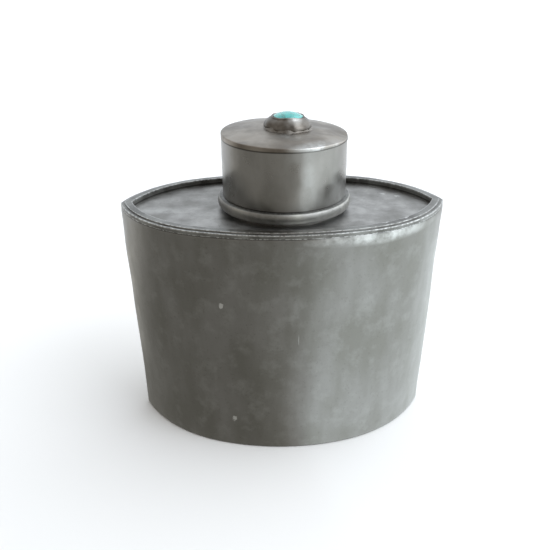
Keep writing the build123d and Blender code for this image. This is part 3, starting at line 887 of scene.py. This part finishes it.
stoneLow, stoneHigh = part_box("stone")
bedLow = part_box("stone_bed")[0]
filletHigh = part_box("mount_solder")[1]
mountShape = {"lip": 0.82 * mm, "play": 0.08 * mm, "soft": 0.5 * mm, "bulge": 0.8 * mm,
              "bulgePower": 0.8, "rows": 10, "steps": 96,
              "seat": ((0, mm / 10), (0.5, mm / 8)),  # share of the foot's radius, depth under the dome
              "lumpSize": 3.4 * mm, "lumpDepth": 0.7 * mm, "frontLip": 0.35 * mm, "frontReach": 2 / 3}
stoneRadius = radiusOf("stone")


def makeMount(shape):
    # a collar pressed up by hand: its flank bulges and its lip is rolled over and lumpy
    foot, cup = radiusOf("stone_mount"), stoneRadius + shape["play"]
    collar, high, soft = cup + shape["lip"], mountHigh.z, shape["soft"]
    low = mountLow.z
    rise = high - soft - low
    shares = [step / shape["rows"] for step in range(shape["rows"] + 1)]
    flank = [(foot + (collar - foot) * t + shape["bulge"] * sin(pi * t) ** shape["bulgePower"],
              low + rise * t) for t in shares]
    outline = [*[(foot * x, discApex - z) for x, z in shape["seat"]], *flank,
               *bend((collar - soft, high - soft), soft, 15, 90, 5), (cup + soft / 3, high - soft / 8),
               (cup, high - soft / 2), (cup, bedLow.z), (0, bedLow.z)]
    piece = turnOutline("stoneMount", mountAxis, outline, shape["steps"], closed=False)
    free = makeGroup(piece, "free", lambda c: (fromAxis(mountAxis, c) - cup) / (shape["lip"] / 2)
                     if c.z > low + shape["play"] else 0)
    displace(piece, shape, "lump", free)
    # the lip stands higher in front of the stone
    bump(piece, (mountAxis.x, -collar, high), (0, 0, shape["frontLip"]), shape["frontReach"] * foot)
    leanOver(piece)
    finishPiece(piece, "cap", "cap_pewter", mountPewter, "stone_mount", sharp=50)


stoneShape = {"corner": 0.15 * mm, "rings": 14, "steps": 96}


def makeStone(shape):
    radius, low, high, corner = stoneRadius, stoneLow.z, stoneHigh.z, shape["corner"]
    rise = high - (mountHigh.z - mountShape["play"])
    sphere = (radius ** 2 + rise ** 2) / (2 * rise)
    rings = [radius * step / shape["rings"] for step in range(shape["rings"] + 1)]
    outline = [*[(r, domeTop(r, high, sphere)) for r in rings], (radius, low + corner),
               (radius - corner, low), (0, low)]
    piece = turnOutline("cabochon", mountAxis, outline, shape["steps"], closed=False)
    leanOver(piece)
    finishPiece(piece, "cap", "cabochon", polishedStone, "stone", sharp=60)


filletShape = {"tuck": 0.5 * mm, "skin": 0.16 * mm, "lumpSize": 2.6 * mm, "lumpDepth": 0.4 * mm,
               "run": 1.5 * mm, "crest": 0.35 * mm, "steps": 120}


def makeFillet(shape):
    # the solder round the mount's foot, pulled out at the front where it ran
    inner, outer, high = radiusOf("stone_mount"), radiusOf("mount_solder"), filletHigh.z
    tuck, skin = shape["tuck"], shape["skin"]
    lowIn, lowOut = (domeTop(r + mm, discApex, discSphere) - skin for r in (inner - tuck, outer))
    outline = [(inner - tuck, lowIn), (outer + skin / 2, lowOut), (outer, lowOut + skin),
               (inner + shape["crest"], lowOut + 2 * skin), (inner + skin / 3, high - skin),
               (inner - tuck / 2, high), (inner - tuck, high - skin / 2)]
    piece = turnOutline("mountFillet", mountAxis, outline, shape["steps"])
    free = makeGroup(piece, "free", lambda c: 1 if c.z > lowOut + skin / 2 else 0)
    displace(piece, shape, "lump", free)
    bump(piece, (mountAxis.x, -outer, lowOut), (skin, -shape["run"], -skin), shape["run"])
    leanOver(piece)
    finishPiece(piece, "cap", "solder", solder, "mount_solder", sharp=60)


makeMount(mountShape)
makeStone(stoneShape)
makeFillet(filletShape)


# the CAD pieces whose shape is right only get their own finish
for node, finish in {"neck_solder": solder, "base_solder": solder, "seam_solder_left": solder,
                     "seam_solder_right": solder, "stone_bed": cork}.items():
    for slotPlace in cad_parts[node].material_slots:
        slotPlace.material = finish


stageLooks = {
    "floorSize": 9.0, "floorHeight": -0.05 * mm,
    # painted shade: the paper's tone darkens towards the front
    "floorTones": ((0.0, "#dedddb"), (1.0, "#fbfbfb")), "floorFade": (-0.2, 0.35),  # from front to back
    # where the room is bright, how bright, and the cosines from which it starts and is at its full
    "brightPlaces": (((0.3, 0.88, 0.36), 0.75, -0.3, 0.9), ((0.9, -0.1, 0.4), 1.6, 0.3, 0.97)),
    "roomLow": 0.52,
    "cardSize": 2.4, "cardBack": 0.12, "cardHeight": 0.3 * mm,
    # what the metal mirrors, from the left round the front to the right, in shares of a full turn
    "cardTones": ((0.0, "#c0bfbb"), (0.14, "#c0bfbb"), (0.22, "#7f7e7a"), (0.44, "#7f7e7a"),
                  (0.5, "#93938f"), (0.525, "#a9aaa8"), (0.555, "#e8f0f3"), (1.0, "#f4fcff")),
    "cardStep": (158 * mm, 176 * mm, 0.042),  # further out than this the card's dark part goes on round
    "cardGlow": 2.0,
    "window": {"place": (0.45, -0.3, 0.5), "aim": (0, 0, 0.05), "size": (0.45, 0.5), "power": 1.6,
               "tint": "#f2f7ff"},
}


def paperFloor(looks):
    # matt white paper, swept up to the light, with a barely visible tooth and a painted falloff of light,
    # darker towards the front
    material, add, place = newMaterial("paper, matt")
    tooth = add("TexNoise", {"Scale": 1 / (0.8 * mm), "Detail": 2}, {"Vector": place})
    point = add("SeparateXYZ", links={"Vector": place})
    near, far = looks["floorFade"]
    # painted shade: darker towards the front
    depth = add("MapRange", {"From Min": near, "From Max": far}, {"Value": point.outputs["Y"]})
    tone = add("ValToRGB", links={"Fac": depth}, stops=looks["floorTones"])
    relief = add("Bump", {"Distance": 0.02 * mm}, {"Height": tooth})
    shader = add("BsdfPrincipled", {"Roughness": 0.9}, {"Base Color": tone, "Normal": relief})
    add("OutputMaterial", links={"Surface": shader})
    return material


def glowingCard(looks):
    # a graded card that only reflections see, dark to the left and bright to the right
    material, add, place = newMaterial("card, graded")
    point = add("SeparateXYZ", links={"Vector": place})
    back = add("Math", {1: -1.0}, {0: point.outputs["Y"]}, operation="MULTIPLY")
    turn = add("Math", links={0: point.outputs["X"], 1: back}, operation="ARCTAN2")
    share = add("MapRange", {"From Min": -pi, "From Max": pi}, {"Value": turn})
    far = add("VectorMath", links={0: place}, operation="LENGTH").outputs["Value"]
    near, out, step = looks["cardStep"]
    later = add("MapRange", {"From Min": near, "From Max": out, "To Max": step}, {"Value": far})
    share = add("Math", links={0: share, 1: later}, operation="SUBTRACT")
    tone = add("ValToRGB", links={"Fac": share}, stops=looks["cardTones"])
    glow = add("Emission", {"Strength": looks["cardGlow"]}, {"Color": tone})
    add("OutputMaterial", links={"Surface": glow})
    return material


def makeRoom(looks):
    # the room is bright behind and to the right, and dim elsewhere
    world = bpy.data.worlds.new("studio")
    world.use_nodes = True
    add = partial(addNode, world.node_tree)
    toward = add("TexCoord").outputs["Generated"]
    level = add("Value")
    level.outputs["Value"].default_value = looks["roomLow"]
    for place, strength, start, full in looks["brightPlaces"]:
        facing = add("VectorMath", {1: Vector(place).normalized()}, {0: toward},
                     operation="DOT_PRODUCT")
        glow = add("MapRange", {"From Min": start, "From Max": full, "To Max": strength},
                   {"Value": facing.outputs["Value"]}, interpolation_type="SMOOTHSTEP")
        level = add("Math", links={0: level, 1: glow}, operation="ADD")
    share = add("MapRange", {"From Min": looks["roomLow"], "From Max": 1.2}, {"Value": level})
    tint = add("ValToRGB", links={"Fac": share}, stops=((0.0, "#fff8ef"), (1.0, "#f3f9ff")))
    sky = world.node_tree.nodes["Background"]
    world.node_tree.links.new(tint.outputs["Color"], sky.inputs["Color"])
    world.node_tree.links.new(level.outputs["Value"], sky.inputs["Strength"])
    bpy.context.scene.world = world


def makeStage(looks):
    objectMode()
    bpy.ops.object.select_all(action="DESELECT")
    bpy.ops.mesh.primitive_plane_add(size=looks["floorSize"], location=(0, 0, looks["floorHeight"]))
    floor = bpy.context.object
    floor.name = "floor"
    floor.data.materials.append(paperFloor(looks))
    size = looks["cardSize"]
    card = begin("gradedCard")
    middle = (0, looks["cardBack"] - size / 2, looks["cardHeight"])
    bpy.ops.mesh.primitive_plane_add(size=size, location=middle)
    objectMode()
    card.data.materials.append(glowingCard(looks))
    card.visible_camera = card.visible_shadow = card.visible_diffuse = False


def addLight(name, place, aim, size, power, tint):
    bpy.ops.object.light_add(type="AREA", location=place)
    light = bpy.context.object
    light.name = name
    light.rotation_euler = (Vector(aim) - Vector(place)).to_track_quat("-Z", "Y").to_euler()
    light.data.shape = "RECTANGLE"
    light.data.size, light.data.size_y = size
    light.data.energy = power
    light.data.color = linear(tint)[:3]


# angles in radians, focus as a share of the sensor
cameraLooks = {"place": (-6.4 * mm, -208.8 * mm, 147.9 * mm), "down": 0.445, "turned": 0.021,
               "tilted": 0.004, "sensor": 36, "focus": 714 / 550}


def makeCamera(looks):
    bpy.ops.object.camera_add(location=looks["place"],
                              rotation=(pi / 2 - looks["down"], looks["tilted"], -looks["turned"]))
    camera = bpy.context.object
    camera.data.sensor_width = looks["sensor"]
    camera.data.lens = looks["sensor"] * looks["focus"]
    camera.data.clip_start = 0.01
    camera.data.clip_end = 50
    bpy.context.scene.camera = camera


makeRoom(stageLooks)
makeStage(stageLooks)
addLight("window", **stageLooks["window"])
makeCamera(cameraLooks)
bpy.context.scene.view_settings.view_transform = "Standard"
print("stage set")
